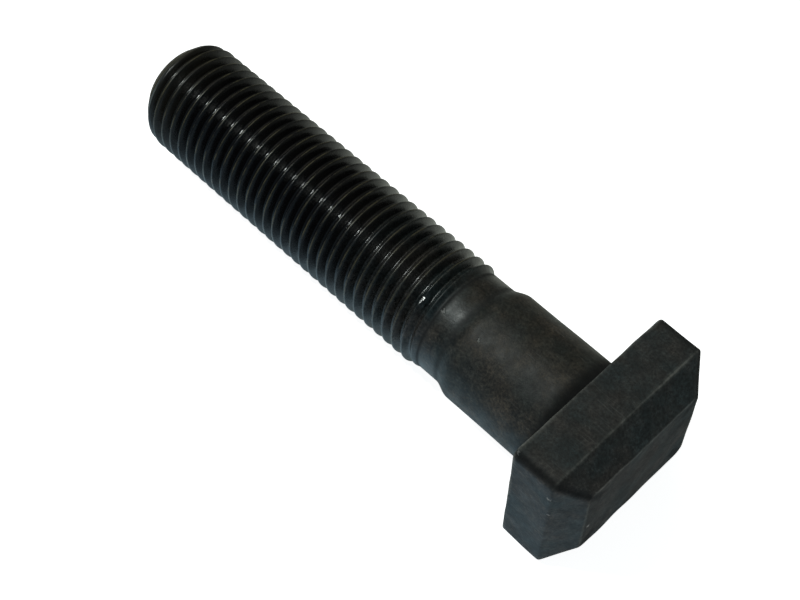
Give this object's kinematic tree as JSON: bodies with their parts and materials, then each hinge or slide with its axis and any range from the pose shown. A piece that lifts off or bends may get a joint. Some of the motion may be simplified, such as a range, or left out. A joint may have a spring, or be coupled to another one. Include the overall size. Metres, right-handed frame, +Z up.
{
  "type": "wheel bolt",
  "caption": "Rectangular-headed wheel bolt with a bevelled outer face, plain shank, waisted neck and fine thread.",
  "frame": {"origin": "centre of the head's bearing face, on the bolt's axis", "axes": "+X towards the head's outer face, +Y along the head's long side, +Z up; the bolt lies on a long side of its head and on its thread, so its axis drops 2.02 degrees from +X towards the tip"},
  "size_m": [0.0738, 0.0228, 0.0186],
  "materials": {
    "black_steel": "black oxide, lightly oiled"
  },
  "bodies": {
    "root": {"wheel_bolt": "black_steel"}
  },
  "joints": []
}
